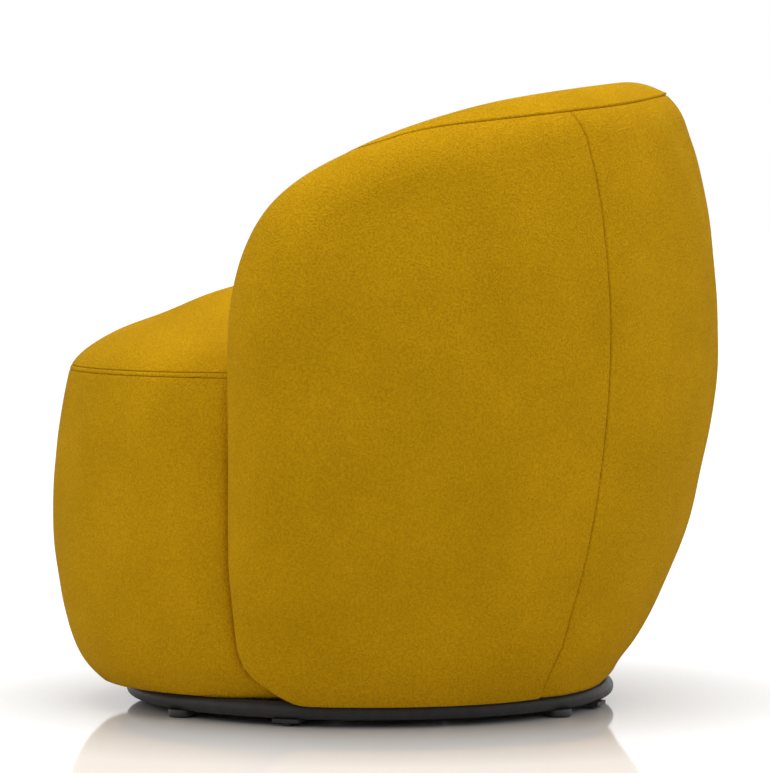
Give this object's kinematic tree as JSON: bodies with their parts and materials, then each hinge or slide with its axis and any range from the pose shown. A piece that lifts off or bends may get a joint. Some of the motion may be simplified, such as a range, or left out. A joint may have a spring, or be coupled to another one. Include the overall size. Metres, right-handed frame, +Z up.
{
  "type": "swivel accent chair",
  "caption": "Barrel-shaped upholstered armchair with a domed round seat, turning on a ball-bearing swivel over a low black ring base.",
  "frame": {"origin": "point on the floor under the swivel axis", "axes": "+Z up along the swivel axis, -Y the way the chair faces, +X to the sitter's left"},
  "size_m": [0.8, 0.765, 0.7148],
  "materials": {
    "cover_fabric": "fine short-pile woven upholstery, matte",
    "black_steel": "satin black powder coat",
    "glide_plastic": "moulded, matte",
    "zinc_steel": "zinc plated",
    "ball_steel": "polished",
    "plywood": "sanded, unfinished",
    "webbing": "woven elastic",
    "cambric": "thin non-woven cloth"
  },
  "bodies": {
    "base": {"base_ring_front": "black_steel", "base_ring_rear": "black_steel", "cross_bar_long": "black_steel", "cross_bar_front": "black_steel", "cross_bar_rear": "black_steel", "bar_bolts": "black_steel", "glide_front_left": "glide_plastic", "glide_front_right": "glide_plastic", "glide_rear_left": "glide_plastic", "glide_rear_right": "glide_plastic", "glide_screws": "zinc_steel", "swivel_lower_plate": "zinc_steel", "lower_plate_bolts": "zinc_steel", "lower_plate_nuts": "zinc_steel", "king_bolt": "zinc_steel", "king_washer": "zinc_steel", "king_nut": "zinc_steel"},
    "ball_cage": {"ball_retainer": "zinc_steel", "bearing_balls": "ball_steel"},
    "chair": {"swivel_upper_plate": "zinc_steel", "upper_plate_bolts": "zinc_steel", "tee_nuts": "zinc_steel", "base_board": "plywood", "rib_back": "plywood", "rib_seam_left": "plywood", "rib_seam_right": "plywood", "rib_arm_left": "plywood", "rib_arm_right": "plywood", "rib_front_left": "plywood", "rib_front_right": "plywood", "seat_rail": "plywood", "top_rail": "plywood", "front_panel": "plywood", "frame_screws": "zinc_steel", "webbing_across": "webbing", "webbing_along": "webbing", "outer_back_panel": "cover_fabric", "outer_side_panel_left": "cover_fabric", "outer_side_panel_right": "cover_fabric", "inside_back_pad": "cover_fabric", "seat_cushion": "cover_fabric", "seat_front_band": "cover_fabric", "dust_cover": "cambric"}
  },
  "joints": [
    {"name": "swivel", "type": "hinge", "parent": "base", "child": "chair", "pos_m": [0, 0, 0.022], "axis": [0, 0, 1], "continuous": true},
    {"name": "cage_turn", "type": "hinge", "parent": "base", "child": "ball_cage", "pos_m": [0, 0, 0.022], "axis": [0, 0, 1], "continuous": true}
  ],
  "couplings": [
    {"joint": "cage_turn", "follows": "swivel", "ratio": 0.5}
  ]
}
